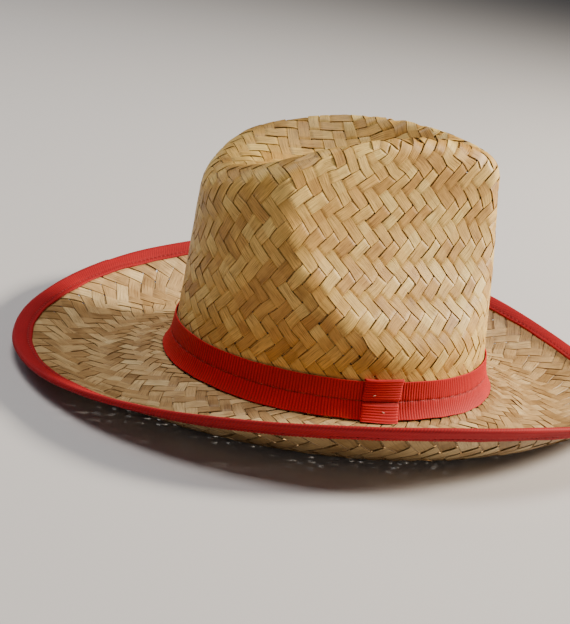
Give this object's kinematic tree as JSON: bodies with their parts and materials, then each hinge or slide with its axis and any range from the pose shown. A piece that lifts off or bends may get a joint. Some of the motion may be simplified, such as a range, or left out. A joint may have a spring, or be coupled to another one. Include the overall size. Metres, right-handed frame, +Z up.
{
  "type": "western straw hat",
  "caption": "Woven palm-straw hat with a dished, side-pinched crown, a brim curled up at the sides, and red ribbon as hat band, keeper and edge binding.",
  "frame": {"origin": "on the ground under the middle of the hat, the bottom centre of its box", "axes": "+X is the front of the hat, +Y the wearer's left side, +Z up"},
  "size_m": [0.3834, 0.3226, 0.1595],
  "materials": {
    "crown_straw": "golden palm leaf, satin, woven",
    "brim_straw": "paler palm leaf, satin, woven",
    "red_ribbon": "ribbed grosgrain ribbon",
    "red_binding": "ribbed grosgrain ribbon, folded",
    "wire": "drawn steel wire",
    "ferrule": "crimped brass tube",
    "sweat_cloth": "plain cotton tape",
    "red_thread": "polyester sewing thread",
    "clear_thread": "shiny nylon thread",
    "pale_thread": "cotton sewing thread"
  },
  "bodies": {
    "root": {"crown": "crown_straw", "brim": "brim_straw", "hat_band": "red_ribbon", "band_keeper": "red_ribbon", "brim_binding": "red_binding", "brim_wire": "wire", "wire_ferrule": "ferrule", "sweatband": "sweat_cloth", "band_stitching": "red_thread", "binding_stitching": "red_thread", "keeper_tacks": "clear_thread", "sweatband_stitching": "pale_thread"}
  },
  "joints": []
}
